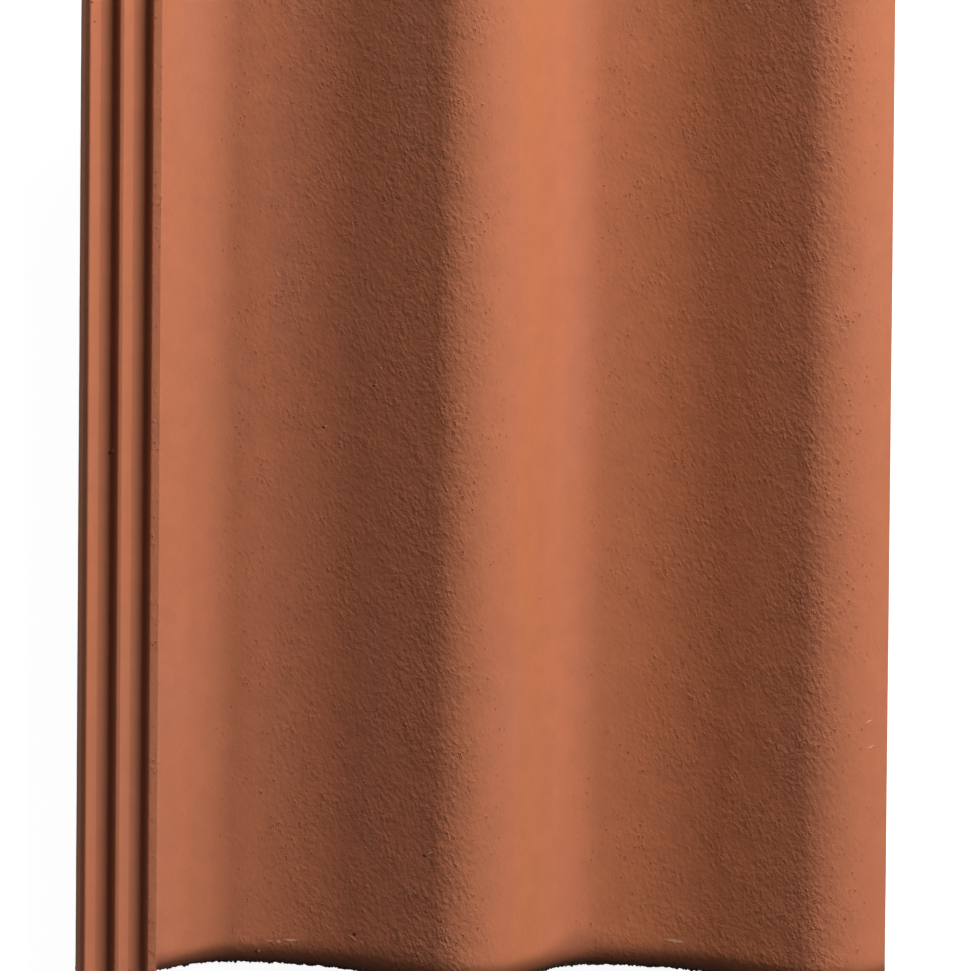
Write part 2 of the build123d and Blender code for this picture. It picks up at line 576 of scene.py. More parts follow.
def mesh_object(name: str, vertices: np.ndarray, faces: list[list[int]]) -> Object:
    """Makes a closed mesh object with its doubles merged and its faces turned outwards.

    Args:
        name: Name of the object and its mesh.
        vertices: Corner points, one row each.
        faces: Corner numbers of each face.

    Returns:
        The linked object.
    """
    mesh = bpy.data.meshes.new(name)
    mesh.from_pydata(vertices.tolist(), [], faces)
    work = bmesh.new()
    work.from_mesh(mesh)
    bmesh.ops.remove_doubles(work, verts=work.verts, dist=MERGE_DISTANCE)
    bmesh.ops.dissolve_degenerate(work, edges=work.edges, dist=MERGE_DISTANCE)
    bmesh.ops.triangulate(work, faces=[face for face in work.faces if len(face.verts) > QUAD])
    bmesh.ops.recalc_face_normals(work, faces=work.faces)
    work.to_mesh(mesh)
    work.free()
    made = bpy.data.objects.new(name, mesh)
    bpy.context.scene.collection.objects.link(made)
    return made


def loft(rings: np.ndarray) -> tuple[np.ndarray, list[list[int]]]:
    """Joins rings of the same number of points into a closed skin.

    Args:
        rings: Array of ring, point and coordinate.

    Returns:
        The points and the faces, with a cap on each end.
    """
    rows, columns = rings.shape[:2]
    number = np.arange(rows * columns).reshape(rows, columns)
    ahead = np.roll(number, -1, axis=1)
    quads = np.stack((number[:-1], ahead[:-1], ahead[1:], number[1:]), axis=-1).reshape(-1, 4)
    caps = [number[0, ::-1].tolist(), number[-1].tolist()]
    return rings.reshape(-1, 3), quads.tolist() + caps


def baked(made: Object) -> Object:
    """Turns an object's live modifiers into its plain mesh and removes them.

    Args:
        made: The object with its modifiers.

    Returns:
        The same object.
    """
    graph = bpy.context.evaluated_depsgraph_get()
    graph.update()
    plain = bpy.data.meshes.new_from_object(made.evaluated_get(graph))
    made.modifiers.clear()
    old = made.data
    made.data = plain
    plain.name = made.name
    bpy.data.meshes.remove(old)
    return made


def rows_of(values: bpy.types.bpy_prop_collection, name: str) -> np.ndarray:
    """Reads one vector of each item of a collection.

    Args:
        values: The mesh's points, their normals or its faces.
        name: The property that holds the vector.

    Returns:
        The vectors, one row each.
    """
    flat = np.empty(len(values) * 3, np.float32)
    values.foreach_get(name, flat)
    return flat.reshape(-1, 3).astype(float)


def vertex_array(mesh: Mesh) -> np.ndarray:
    """The mesh's points, one row each."""
    return rows_of(mesh.vertices, "co")


def normal_array(mesh: Mesh) -> np.ndarray:
    """The mesh's point normals, one row each."""
    return rows_of(mesh.vertex_normals, "vector")


def write_values(mesh: Mesh, attribute: Attribute, values: np.ndarray) -> None:
    """Stores one value for each point of the mesh."""
    layer = mesh.attributes.get(attribute.value) or mesh.attributes.new(attribute.value, "FLOAT", "POINT")
    layer.data.foreach_set("value", values.astype(np.float32))


def discard(made: Object) -> None:
    """Removes a helper object and its mesh."""
    mesh = made.data
    bpy.data.objects.remove(made)
    bpy.data.meshes.remove(mesh)


def combined(body: Object, tool: Object, operation: str) -> Object:
    """Joins a tool solid to the body or cuts it out, and discards the tool.

    Args:
        body: The object that is kept.
        tool: The solid that is joined or cut out.
        operation: The modifier's own word for what it does.

    Returns:
        The body.
    """
    step = body.modifiers.new(operation, "BOOLEAN")
    step.operation = operation
    step.solver = "MANIFOLD"
    step.object = tool
    baked(body)
    discard(tool)
    return body


# Node graphs

class Graph:
    """A node tree with short calls that add its nodes, whose inputs take a value or another socket."""

    def __init__(self, tree: bpy.types.NodeTree) -> None:
        """Starts on that tree."""
        self.tree = tree

    def add(self, kind: str, inputs: dict[Any, Any] | None = None, **settings: Any) -> Node:
        """Adds a node.

        Args:
            kind: The node's type.
            inputs: Values or sockets for its inputs, by name or number.
            settings: Properties of the node itself.

        Returns:
            The node.
        """
        node = self.tree.nodes.new(kind)
        for key, value in settings.items():
            setattr(node, key, value)
        for key, value in (inputs or {}).items():
            self.put(value, node.inputs[key])
        return node

    def put(self, value: Any, socket: NodeSocket) -> None:
        """Gives an input a value, or joins another socket to it."""
        if isinstance(value, NodeSocket):
            self.tree.links.new(value, socket)
        else:
            socket.default_value = value

    def maths(self, operation: str, *values: Any) -> NodeSocket:
        """Result of a Math node over those values."""
        return self.add("ShaderNodeMath", dict(enumerate(values)), operation=operation).outputs[0]

    def vector(self, operation: str, a: Any, b: Any = None) -> NodeSocket:
        """Adds a Vector Math node.

        Args:
            operation: What the node does.
            a: The first vector.
            b: The second vector, or the number to scale by.

        Returns:
            The result, which is a number for a length or a product and otherwise a vector.
        """
        inputs: dict[Any, Any] = {0: a}
        if operation == "SCALE":
            inputs["Scale"] = b
        elif b is not None:
            inputs[1] = b
        node = self.add("ShaderNodeVectorMath", inputs, operation=operation)
        return node.outputs["Value" if operation in ("LENGTH", "DISTANCE", "DOT_PRODUCT") else "Vector"]

    def remap(self, value: Any, low: Any, high: Any, to_low: Any = 0.0, to_high: Any = 1.0) -> NodeSocket:
        """Eases a value from one range to another and keeps it inside.

        Args:
            value: The value or its socket.
            low: Where the first range starts.
            high: Where the first range ends.
            to_low: The result at the start.
            to_high: The result at the end.

        Returns:
            The result.
        """
        inputs = {0: value, 1: low, 2: high, 3: to_low, 4: to_high}
        return self.add("ShaderNodeMapRange", inputs, interpolation_type="SMOOTHSTEP").outputs[0]

    def noise(
        self, place: NodeSocket, size: Any, detail: float = 2.0, seed: float = 0.0, rough: float = 0.5
    ) -> NodeSocket:
        """Adds soft noise from 0 to 1.

        Args:
            place: Where in millimetres.
            size: How wide its lumps are, in millimetres.
            detail: How many finer layers it has.
            seed: Which noise it is.
            rough: How strong the finer layers are.

        Returns:
            The noise.
        """
        scale = self.maths("DIVIDE", 1.0, size)
        inputs = {"Vector": place, "W": seed, "Scale": scale, "Detail": detail, "Roughness": rough}
        return self.add("ShaderNodeTexNoise", inputs, noise_dimensions="4D").outputs[0]

    def group(self, tree: bpy.types.NodeTree, inputs: dict[str, Any]) -> Node:
        """Places a node group.

        Args:
            tree: The group.
            inputs: Values or sockets for its inputs, by name.

        Returns:
            The node.
        """
        node = self.add("ShaderNodeGroup", node_tree=tree)
        for name, value in inputs.items():
            self.put(value, node.inputs[name])
        return node

    def blend(self, share: Any, first: Any, second: Any, how: str = "MIX") -> NodeSocket:
        """Mixes two colours."""
        node = self.add("ShaderNodeMix", {0: share, 6: first, 7: second}, data_type="RGBA", blend_type=how)
        return node.outputs[2]


class Group(Graph):
    """A node group with named inputs and outputs."""

    def __init__(self, name: str, kind: str) -> None:
        """Makes an empty group of that kind of tree."""
        super().__init__(bpy.data.node_groups.new(name, kind))
        self.entry = self.tree.nodes.new("NodeGroupInput")
        self.exit = self.tree.nodes.new("NodeGroupOutput")

    def takes(self, name: str, kind: str, value: Any = None) -> NodeSocket:
        """Adds a named input.

        Args:
            name: The input's name.
            kind: The type of its socket.
            value: The value that it has when nothing is given.

        Returns:
            Its socket inside the group.
        """
        socket = self.tree.interface.new_socket(name=name, in_out="INPUT", socket_type=kind)
        if value is not None:
            socket.default_value = value
        return self.entry.outputs[name]

    def gives(self, name: str, kind: str, source: NodeSocket) -> None:
        """Adds a named output that carries that socket."""
        self.tree.interface.new_socket(name=name, in_out="OUTPUT", socket_type=kind)
        self.tree.links.new(source, self.exit.inputs[name])


class GeometryTree(Group):
    """A Geometry Nodes group that takes and gives geometry and names its sizes."""

    def __init__(self, name: str) -> None:
        """Makes the tree with its geometry input."""
        super().__init__(name, "GeometryNodeTree")
        self.tree.is_modifier = True
        self.mesh = self.takes("Geometry", "NodeSocketGeometry")

    def ends(self, geometry: NodeSocket, material: Material) -> None:
        """Ends the tree: instances are made real and the material is set.

        Args:
            geometry: What the tree has made.
            material: What it is made of.
        """
        real = self.add("GeometryNodeRealizeInstances", {"Geometry": geometry})
        dressed = self.add("GeometryNodeSetMaterial", {"Geometry": real.outputs[0], "Material": material})
        self.gives("Geometry", "NodeSocketGeometry", dressed.outputs[0])

    def apply(self, made: Object, values: dict[str, Any]) -> Object:
        """Runs the tree on an object and keeps the result as its mesh.

        Args:
            made: The object.
            values: Values for the tree's inputs, by name.

        Returns:
            The same object.
        """
        step = made.modifiers.new(self.tree.name, "NODES")
        step.node_group = self.tree
        for item in self.tree.interface.items_tree:
            if item.in_out == "INPUT" and item.name in values:
                step[item.identifier] = values[item.name]
        return baked(made)


def named_value(graph: Graph, attribute: Attribute) -> NodeSocket:
    """A point value of the mesh inside a Geometry Nodes tree."""
    node = graph.add("GeometryNodeInputNamedAttribute", {"Name": attribute.value}, data_type="FLOAT")
    return node.outputs["Attribute"]


def repeat_tree(material: Material) -> GeometryTree:
    """Builds a tree that repeats the mesh at even steps along a line.

    Args:
        material: What the copies are made of.

    Returns:
        The tree.
    """
    tree = GeometryTree("repeat_along_line")
    count = tree.takes("Count", "NodeSocketInt", 2)
    step = tree.takes("Step", "NodeSocketVector")
    line = tree.add("GeometryNodeMeshLine", {"Count": count, "Offset": step}, mode="OFFSET")
    copies = tree.add("GeometryNodeInstanceOnPoints", {"Points": line.outputs[0], "Instance": tree.mesh})
    tree.ends(copies.outputs[0], material)
    return tree


# The tile and what is cast with it

@dataclass
class FootRibs:
    """The ribs under the front edge, which follow the underside's wave."""

    section: TileSection
    count: int = 3
    depth: float = 5.0
    width: float = 7.0
    gap: float = 9.0
    setback: float = 3.0
    radius: float = 1.5
    step: float = 3.0

    def build(self, repeat: GeometryTree) -> Object:
        """Builds one rib and repeats it.

        Args:
            repeat: The tree that repeats a mesh along a line.

        Returns:
            The ribs as one closed mesh each.
        """
        thickness = self.section.sizes.thickness
        root = thickness / 2
        low = thickness + self.depth
        corners = [(0.0, root), (0.0, low), (self.width, low), (self.width, root)]
        outline = rounded_path(corners, [self.radius] * 2)
        arcs = self.section.waves[:-1] + [self.last_arc()]
        rings = []
        for y, depth in outline:
            line = self.along(arcs, depth)
            rings.append(np.column_stack((line[:, 0], np.full(len(line), self.setback + y), line[:, 1])))
        across = np.array(rings).transpose(1, 0, 2)
        rib = mesh_object("foot_ribs", *loft(across))
        return repeat.apply(rib, {"Count": self.count, "Step": (0.0, self.width + self.gap, 0.0)})

    def last_arc(self) -> Arc:
        """The last crest's arc up to its top, where the ribs end in the inner lip."""
        last = self.section.waves[-1]
        return Arc(last.centre, last.radius, last.start, 90, last.side)

    def along(self, arcs: list[Arc], depth: float) -> np.ndarray:
        """Draws a line along the wave.

        Args:
            arcs: The wave's arcs.
            depth: How far below the upper face the line runs.

        Returns:
            The points of the line.
        """
        parts = [arc.points(depth, arc.count(self.step)) for arc in arcs]
        joined = [parts[0]]
        for before, after in zip(parts, parts[1:]):
            touching = np.linalg.norm(after[0] - before[-1]) < MERGE_DISTANCE
            joined.append(after[1:] if touching else after)
        return np.concatenate(joined)


@dataclass
class HangingNibs:
    """The two drafted nibs under the head that hang on the batten."""

    sizes: TileSizes
    width: float = 38.0
    length: float = 15.0
    depth: float = 14.0
    draft: float = 10.0
    face_setback: float = 22.0
    radius: float = 2.0
    root_depth: float = 4.0
    corner_steps: int = 6
    levels: int = 8

    @property
    def face_y(self) -> float:
        """Place of the flat face that bears on the batten."""
        return self.sizes.length - self.face_setback

    def outline(self, flare: float) -> np.ndarray:
        """Draws a nib's outline as seen from above.

        Args:
            flare: How far its drafted sides are moved out.

        Returns:
            The points of the outline.
        """
        half, long, radius = self.width / 2 + flare, self.length + flare, self.radius + flare
        corners = [(-half, 0.0), (-half, long), (half, long), (half, 0.0)]
        return rounded_path(corners, [radius] * 2, self.corner_steps)

    def build(self, repeat: GeometryTree) -> Object:
        """Builds one nib and repeats it under the other trough.

        Args:
            repeat: The tree that repeats a mesh along a line.

        Returns:
            The nibs as one closed mesh each.
        """
        reach = self.sizes.thickness - self.root_depth + self.depth
        rings = []
        for share in spread(0, 1, self.levels):
            drop = self.root_depth + reach * share
            flare = reach * (1 - share) * math.tan(math.radians(self.draft))
            flat = self.outline(flare) + np.array([self.sizes.trough_x[0], self.face_y])
            rings.append(np.column_stack((flat, np.full(len(flat), -drop))))
        nib = mesh_object("hanging_nibs", *loft(np.array(rings)))
        return repeat.apply(nib, {"Count": len(self.sizes.trough_x), "Step": (self.sizes.pitch, 0.0, 0.0)})


@dataclass
class NailHoles:
    """The blind nail holes under the head."""

    nibs: HangingNibs
    diameter: float = 5.5
    skin: float = 2.0
    batten_width: float = 44.0
    sides: int = 32
    overrun: float = 1.0

    def build(self, repeat: GeometryTree) -> Object:
        """Builds the solid that a hole leaves out and repeats it.

        Args:
            repeat: The tree that repeats a mesh along a line.

        Returns:
            The cutting solids.
        """
        sizes = self.nibs.sizes
        middle = np.array([sizes.trough_x[0], self.nibs.face_y - self.batten_width / 2])
        angles = spread(0, FULL_TURN, self.sides)[:-1]
        circle = np.array([middle + unit(angle) * self.diameter / 2 for angle in angles])
        levels = (-sizes.thickness - self.overrun, -self.skin)
        rings = [np.column_stack((circle, np.full(len(circle), z))) for z in levels]
        hole = mesh_object("nail_holes", *loft(np.array(rings)))
        return repeat.apply(hole, {"Count": len(sizes.trough_x), "Step": (sizes.pitch, 0.0, 0.0)})


@dataclass
class TileBody:
    """The whole cast tile: its section run up the slope, its nose, ribs, nibs and holes.

    The reach values say how far the painted shade along the lower edge reaches up at each place across
    the tile. The lean and level values give the grain for each sideways lean of the face and each level
    of it.
    """

    section: TileSection
    ribs: FootRibs = field(init=False)
    nibs: HangingNibs = field(init=False)
    nose_steps: int = 14
    row_step: float = 2.5
    reach_x: tuple[float, ...] = (34.0, 60.0, 130.0, 160.0, 190.0, 205.0, 230.0, 332.0)
    edge_reach: tuple[float, ...] = (6.0, 14.0, 18.0, 15.0, 14.0, 20.0, 15.0, 15.0)
    head_coat: float = 0.35
    # painted shade in the grooves, by level: darkest on the floor
    groove_shade_steps: tuple[float, ...] = (1.0, 0.25, 0.0)
    lock_grain: float = 0.3
    unrolled_grain: float = 1.3
    nose_grain: float = 1.3
    front_grain: float = 0.6
    front_reach: float = 45.0
    lean_steps: tuple[float, ...] = (-0.5, -0.25, 0.0, 0.3, 0.6, 0.75)
    grain_steps: tuple[float, ...] = (2.2, 1.8, 1.2, 0.8, 0.45, 0.32)
    level_steps: tuple[float, ...] = (4.0, 18.0, 33.0)
    level_grain: tuple[float, ...] = (0.8, 0.95, 1.4)
    facing_up: float = 0.05
    facing_out: float = -0.6

    def __post_init__(self) -> None:
        """Takes the ribs and the nibs from the same section."""
        self.ribs = FootRibs(self.section)
        self.nibs = HangingNibs(self.section.sizes)

    def rows(self) -> tuple[np.ndarray, np.ndarray]:
        """Finds the places of the rows along the tile and how far the nose sinks each one's upper face.

        Returns:
            The place of each row and its depth.
        """
        sizes = self.section.sizes
        angles = np.radians(spread(0, 90, self.nose_steps))
        nose_y = sizes.nose_radius * (1 - np.cos(angles))
        sink = sizes.nose_radius * (1 - np.sin(angles))
        run = sizes.length - sizes.nose_radius
        rest = sizes.nose_radius + spread(0, run, round(run / self.row_step))[1:]
        return np.concatenate((nose_y, rest)), np.concatenate((sink, np.zeros(len(rest))))

    def build(self, repeat: GeometryTree) -> Object:
        """Builds the tile in its own directions, in millimetres.

        Args:
            repeat: The tree that repeats a mesh along a line.

        Returns:
            The tile as one closed mesh.
        """
        rings = []
        for y, sink in zip(*self.rows()):
            ring = self.section.ring(float(sink))
            rings.append(np.column_stack((ring[:, 0], np.full(len(ring), y), ring[:, 1])))
        body = mesh_object(NODE_NAME + "_cast", *loft(np.array(rings)))
        combined(body, self.ribs.build(repeat), "UNION")
        combined(body, self.nibs.build(repeat), "UNION")
        return combined(body, NailHoles(self.nibs).build(repeat), "DIFFERENCE")

    def surface_height(self, x: np.ndarray) -> np.ndarray:
        """Finds the level of the upper face.

        Args:
            x: Places across the tile.

        Returns:
            The level at each place.
        """
        upper = np.concatenate((self.section.lock, self.section.upper_points(0)))
        top = upper[upper[:, 1] > self.section.sizes.bottom_height - self.section.sizes.thickness]
        order = np.argsort(top[:, 0], kind="stable")
        return np.interp(x, top[order, 0], top[order, 1])

    def mark_zones(self, body: Object) -> None:
        """Writes the point values for the coating, the outer wall's paler tone, the grooves' painted shade,
        the broken edge with its painted shade, and the grain.

        Args:
            body: The tile in its own directions.
        """
        mesh = body.data
        places, normals = vertex_array(mesh), normal_array(mesh)
        sizes = self.section.sizes
        x, y, z = places.T
        depth = self.surface_height(x) - z
        lock = (x < sizes.shoulder_x + MERGE_DISTANCE) & (z > sizes.bottom_height + sizes.foot_height / 2)
        nose = (y < sizes.nose_radius) & (depth < sizes.nose_radius)
        upper = ((normals[:, 2] > self.facing_up) & (depth < sizes.thickness / 2)) | lock | nose
        coat = np.where(upper, 1.0, 0.0)
        coat[y > sizes.length - MERGE_DISTANCE] *= self.head_coat
        wall = (x < sizes.outer_wall_run / 2) & (normals[:, 0] < self.facing_out)
        edge = np.clip(1 - y / np.interp(x, self.reach_x, self.edge_reach), 0, 1)
        write_values(mesh, Attribute.COAT, coat)
        # the outer wall's tone: duller than the coat, and made paler as painted light in place of the fill
        # that lifts it
        write_values(mesh, Attribute.WALL_TONE_AND_PAINTED_FILL, np.where(wall, 1.0, 0.0))
        write_values(mesh, Attribute.GRAIN, self.grain(places, normals[:, 0], lock, nose))
        # painted shade in the lock's grooves
        write_values(mesh, Attribute.GROOVE_SHADE, self.groove_shade(x, z) * lock)
        # the edge values set the painted shade along the nose's lower edge, and also where that edge breaks
        write_values(mesh, Attribute.EDGE, edge * (upper & ~lock))

    def grain(self, places: np.ndarray, lean: np.ndarray, lock: np.ndarray, nose: np.ndarray) -> np.ndarray:
        """Works out how rough the concrete is.

        It is smoothest on the steep flanks, which face the light, and roughest on the gentle ones, which
        lean away from it; as the grain's tone darkens its hollows, this also paints more shade where the
        light grazes. The outer wall and the shoulder's ledge aren't rolled at all.

        Args:
            places: The mesh's points.
            lean: How far each point's normal leans to the right.
            lock: Which points belong to the side lock.
            nose: Which points belong to the nose.

        Returns:
            The grain's strength at each point.
        """
        sizes = self.section.sizes
        x, y, z = places.T
        grain = np.interp(lean, self.lean_steps, self.grain_steps)
        grain *= np.interp(z, self.level_steps, self.level_grain)
        grain[lock] *= self.lock_grain
        unrolled = lock & ((lean < self.facing_out) & (x < sizes.rib_x[0]) | (x > sizes.ledge_x))
        grain[unrolled] = self.unrolled_grain
        grain *= 1 + self.front_grain * np.clip(1 - y / self.front_reach, 0, 1)
        fading = self.nose_grain * np.clip(1 - y / sizes.nose_radius, 0, 1)
        grain[nose] = np.maximum(grain[nose], fading[nose])
        return grain

    def groove_shade(self, x: np.ndarray, z: np.ndarray) -> np.ndarray:
        """Works out how much painted shade lies in the lock's grooves.

        Args:
            x: Places across the tile.
            z: Levels.

        Returns:
            The shares: most at the foot of each wall, and a little on the ribs' flanks.
        """
        sizes = self.section.sizes
        inside = np.zeros(len(x), bool)
        for flank in sizes.flank_x:
            inside |= (x > flank + MERGE_DISTANCE) & (x < flank + sizes.groove_run - MERGE_DISTANCE)
        levels = (sizes.floor_height, sizes.flank_foot, sizes.shoulder_height)
        return np.interp(z, levels, self.groove_shade_steps) * inside


@dataclass
class Placement:
    """How the tile lies on the floor: on the rib behind its front edge and on its nibs."""

    ribs: FootRibs
    nibs: HangingNibs

    @property
    def tilt(self) -> float:
        """How far the head is raised, in radians."""
        radius = self.ribs.radius
        run = self.nibs.face_y - self.ribs.setback - radius
        drop = self.nibs.depth - self.ribs.depth + radius
        return math.atan2(drop, run) - math.asin(radius / math.hypot(drop, run))

    def lay(self, body: Object) -> None:
        """Turns the tile's mesh, brings it to metres and sets it on the CAD node's place.

        Args:
            body: The tile in its own directions.
        """
        body.data.transform(Matrix.Scale(METRES_PER_MM, 4) @ Matrix.Rotation(self.tilt, 4, "X"))
        lowest = vertex_array(body.data).min(0)
        body.data.transform(Matrix.Translation(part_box(NODE_NAME)[0] - Vector(lowest.tolist())))


# The relief of the cast face

@dataclass
class CastRelief:
    """The slow swells of the cast face and the broken lower edge of the nose."""

    swell_depth: float = 0.16
    swell_size: float = 26.0
    ripple_depth: float = 0.10
    ripple_size: float = 6.0
    break_depth: float = 1.9
    break_size: float = 2.2
    chip_range: tuple[float, float] = (0.35, 0.75)
    edge_range: tuple[float, float] = (0.78, 0.98)
    seed: float = 4.0

    def build(self, material: Material) -> GeometryTree:
        """Builds the tree, which only ever takes concrete away.

        Args:
            material: The tile's material.

        Returns:
            The tree.
        """
        tree = GeometryTree("cast_relief")
        sizes = {}
        for name, value in self.values().items():
            sizes[name] = tree.takes(name, "NodeSocketFloat", value)
        place = tree.vector("SCALE", tree.add("GeometryNodeInputPosition").outputs[0], 1 / METRES_PER_MM)
        normal = tree.add("GeometryNodeInputNormal").outputs[0]
        swell = tree.noise(place, sizes["Swell Size"], seed=self.seed)
        ripple = tree.noise(place, sizes["Ripple Size"], seed=self.seed + 1)
        depth = tree.maths("MULTIPLY", swell, sizes["Swell Depth"])
        depth = tree.maths("ADD", depth, tree.maths("MULTIPLY", ripple, sizes["Ripple Depth"]))
        chips = tree.noise(place, sizes["Break Size"], detail=3.0, seed=self.seed + 2, rough=0.7)
        chips = tree.remap(chips, *self.chip_range)
        broken = tree.maths("MULTIPLY", chips, sizes["Break Depth"])
        edge = tree.remap(named_value(tree, Attribute.EDGE), *self.edge_range)
        broken = tree.maths("MULTIPLY", broken, edge)
        depth = tree.maths("MULTIPLY", tree.maths("ADD", depth, broken), -METRES_PER_MM)
        offset = tree.vector("SCALE", normal, depth)
        moved = tree.add("GeometryNodeSetPosition", {"Geometry": tree.mesh, "Offset": offset})
        tree.ends(moved.outputs[0], material)
        return tree

    def values(self) -> dict[str, float]:
        """The tree's named inputs."""
        return {
            "Swell Depth": self.swell_depth,
            "Swell Size": self.swell_size,
            "Ripple Depth": self.ripple_depth,
            "Ripple Size": self.ripple_size,
            "Break Depth": self.break_depth,
            "Break Size": self.break_size,
        }

    def dress(self, body: Object, material: Material) -> None:
        """Works the relief into the tile's mesh."""
        self.build(material).apply(body, self.values())


@dataclass
class EdgeCrumbs:
    """Grains of the mix that stand out along the broken lower edge.

    The radius is in millimetres, and smallest and largest are the grains' scales. Shown holds their
    own point values: coated, in the painted shade of the lower edge, and with a little grain.
    """

    radius: float = 0.58
    per_square_metre: float = 560000.0
    smallest: float = 0.5
    largest: float = 1.6
    edge_share: float = 0.89
    seed: int = 11
    shown: tuple[tuple[Attribute, float], ...] = (
        (Attribute.COAT, 1.0),
        (Attribute.EDGE, 0.95),
        (Attribute.GRAIN, 0.5),
        (Attribute.WALL_TONE_AND_PAINTED_FILL, 0.0),
        (Attribute.GROOVE_SHADE, 0.0),
    )

    def build(self, material: Material) -> GeometryTree:
        """Builds the tree that scatters the grains over the front of a tile's mesh.

        Args:
            material: The tile's material.

        Returns:
            The tree.
        """
        tree = GeometryTree("edge_crumbs")
        radius = tree.takes("Radius", "NodeSocketFloat", self.radius)
        density = tree.takes("Density", "NodeSocketFloat", self.per_square_metre)
        front = tree.maths("GREATER_THAN", named_value(tree, Attribute.EDGE), self.edge_share)
        inputs = {"Mesh": tree.mesh, "Selection": front, "Density": density, "Seed": self.seed}
        points = tree.add("GeometryNodeDistributePointsOnFaces", inputs).outputs["Points"]
        size = tree.maths("MULTIPLY", radius, METRES_PER_MM)
        grain = tree.add("GeometryNodeMeshIcoSphere", {"Radius": size, "Subdivisions": 1}).outputs["Mesh"]
        scales = {2: self.smallest, 3: self.largest, 8: self.seed}
        scale = tree.add("FunctionNodeRandomValue", scales, data_type="FLOAT")
        copies = {"Points": points, "Instance": grain, "Scale": scale.outputs[1]}
        tree.ends(tree.add("GeometryNodeInstanceOnPoints", copies).outputs[0], material)
        return tree

    def scatter(self, tile: Object, material: Material) -> Object:
        """Scatters the grains over a copy of the tile and keeps only them, inside the tile's own box.

        Args:
            tile: The finished tile.
            material: The tile's material.

        Returns:
            The grains as one object.
        """
        crumbs = bpy.data.objects.new("edge_crumbs", tile.data.copy())
        bpy.context.scene.collection.objects.link(crumbs)
        self.build(material).apply(crumbs, {"Radius": self.radius, "Density": self.per_square_metre})
        mesh = crumbs.data
        low, high = (np.array(corner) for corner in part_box(NODE_NAME))
        inside = np.clip(vertex_array(mesh), low, high)
        mesh.vertices.foreach_set("co", inside.astype(np.float32).ravel())
        for attribute, value in self.shown:
            write_values(mesh, attribute, np.full(len(mesh.vertices), value))
        return crumbs


# The finish

class Tone(Enum):
    """Whether a mark is pale or dark; some dark marks are painted shadows, and some pale ones painted
    light.
    """

    PALE = "Pale"
    DARK = "Dark"


@dataclass(frozen=True)
class ToneBand:
    """A strip along the tile where the colour differs. Its place is across the frame, in millimetres."""

    centre: float
    half_width: float
    strength: float
    fade: tuple[float, float] = (1.2, 0.4)

    def share(self, graph: Graph, across: NodeSocket) -> NodeSocket:
        """Works out how much of the band shows.

        Args:
            graph: The node tree that asks.
            across: The place across the frame.

        Returns:
            The share.
        """
        off = graph.maths("ABSOLUTE", graph.maths("SUBTRACT", across, self.centre))
        start, full = (self.half_width * share for share in self.fade)
        return graph.remap(off, start, full, 0.0, self.strength)


@dataclass(frozen=True)
class SandyGrain:
    """The concrete's peel, sand and pits, which come rougher and smoother in patches.

    Sizes are in millimetres. The drawn values stretch the peel and the pits along a line that is turned
    across the slope. The height and tone values say how much each part adds to the relief and the colour.
    The tone follows the relief, so it paints shade into the hollows.
    """

    peel_size: float = 1.7
    sand_size: float = 0.7
    pit_size: float = 1.7
    patch_size: float = 12.0
    turn: float = -22.0
    drawn_peel: Triple = (1.0, 0.78, 1.0)
    drawn_pits: Triple = (1.0, 0.6, 1.0)
    pit_reach: tuple[float, float] = (0.08, 0.27)
    rim_reach: tuple[float, float] = (0.2, 0.45)
    rough_patch: tuple[float, float] = (0.4, 0.65)
    patch_chance: float = 0.3
    pitted: tuple[float, float] = (0.75, 1.05)
    sand_height: float = 0.15
    rim_height: float = 0.35
    pit_height: float = -0.55
    sand_tone: float = 0.5
    middle_tone: float = 0.75
    patch_range: tuple[float, float] = (0.3, 0.7)
    patch_lift: tuple[float, float] = (0.75, 1.25)

    def sizes(self) -> dict[str, float]:
        """The group's named sizes."""
        return {
            "Peel Size": self.peel_size,
            "Sand Size": self.sand_size,
            "Pit Size": self.pit_size,
            "Patch Size": self.patch_size,
        }

    def group(self) -> bpy.types.NodeTree:
        """Builds the group, which gives the relief's height, the pits, the tone and the patches.

        Returns:
            The group.
        """
        group = Group("sandy_grain", "ShaderNodeTree")
        place = group.takes("Vector", "NodeSocketVector")
        peel_size, sand_size, pit_size, patch_size = (
            group.takes(name, "NodeSocketFloat", value) for name, value in self.sizes().items()
        )
        turn = {"Vector": place, "Angle": math.radians(self.turn)}
        turned = group.add("ShaderNodeVectorRotate", turn, rotation_type="Z_AXIS").outputs[0]
        drawn = group.vector("MULTIPLY", turned, self.drawn_peel)
        patch = group.noise(drawn, patch_size, detail=1.0, seed=7.0)
        peel = group.noise(drawn, peel_size, detail=2.0, seed=1.0)
        sand = group.noise(place, sand_size, detail=1.0, seed=2.0)
        scale = group.maths("DIVIDE", 1.0, pit_size)
        spots = {"Vector": group.vector("MULTIPLY", turned, self.drawn_pits), "Scale": scale}
        cells = group.add("ShaderNodeTexVoronoi", spots).outputs
        chance = group.add("ShaderNodeSeparateColor", {0: cells["Color"]}).outputs[0]
        rough = group.remap(patch, *self.rough_patch)
        chance = group.maths("MULTIPLY_ADD", rough, self.patch_chance, chance)
        pitted = group.remap(chance, *self.pitted)
        pits, rims = (
            group.maths("MULTIPLY", group.remap(cells["Distance"], *reach, 1.0, 0.0), pitted)
            for reach in (self.pit_reach, self.rim_reach)
        )
        height = group.maths("MULTIPLY_ADD", sand, self.sand_height, peel)
        height = group.maths("MULTIPLY_ADD", rims, self.rim_height, height)
        height = group.maths("MULTIPLY_ADD", pits, self.pit_height, height)
        tone = group.maths("MULTIPLY_ADD", sand, self.sand_tone, peel)
        group.gives("Height", "NodeSocketFloat", height)
        group.gives("Pits", "NodeSocketFloat", pits)
        group.gives("Tone", "NodeSocketFloat", group.maths("SUBTRACT", tone, self.middle_tone))
        group.gives("Patch", "NodeSocketFloat", group.remap(patch, *self.patch_range, *self.patch_lift))
        return group.tree


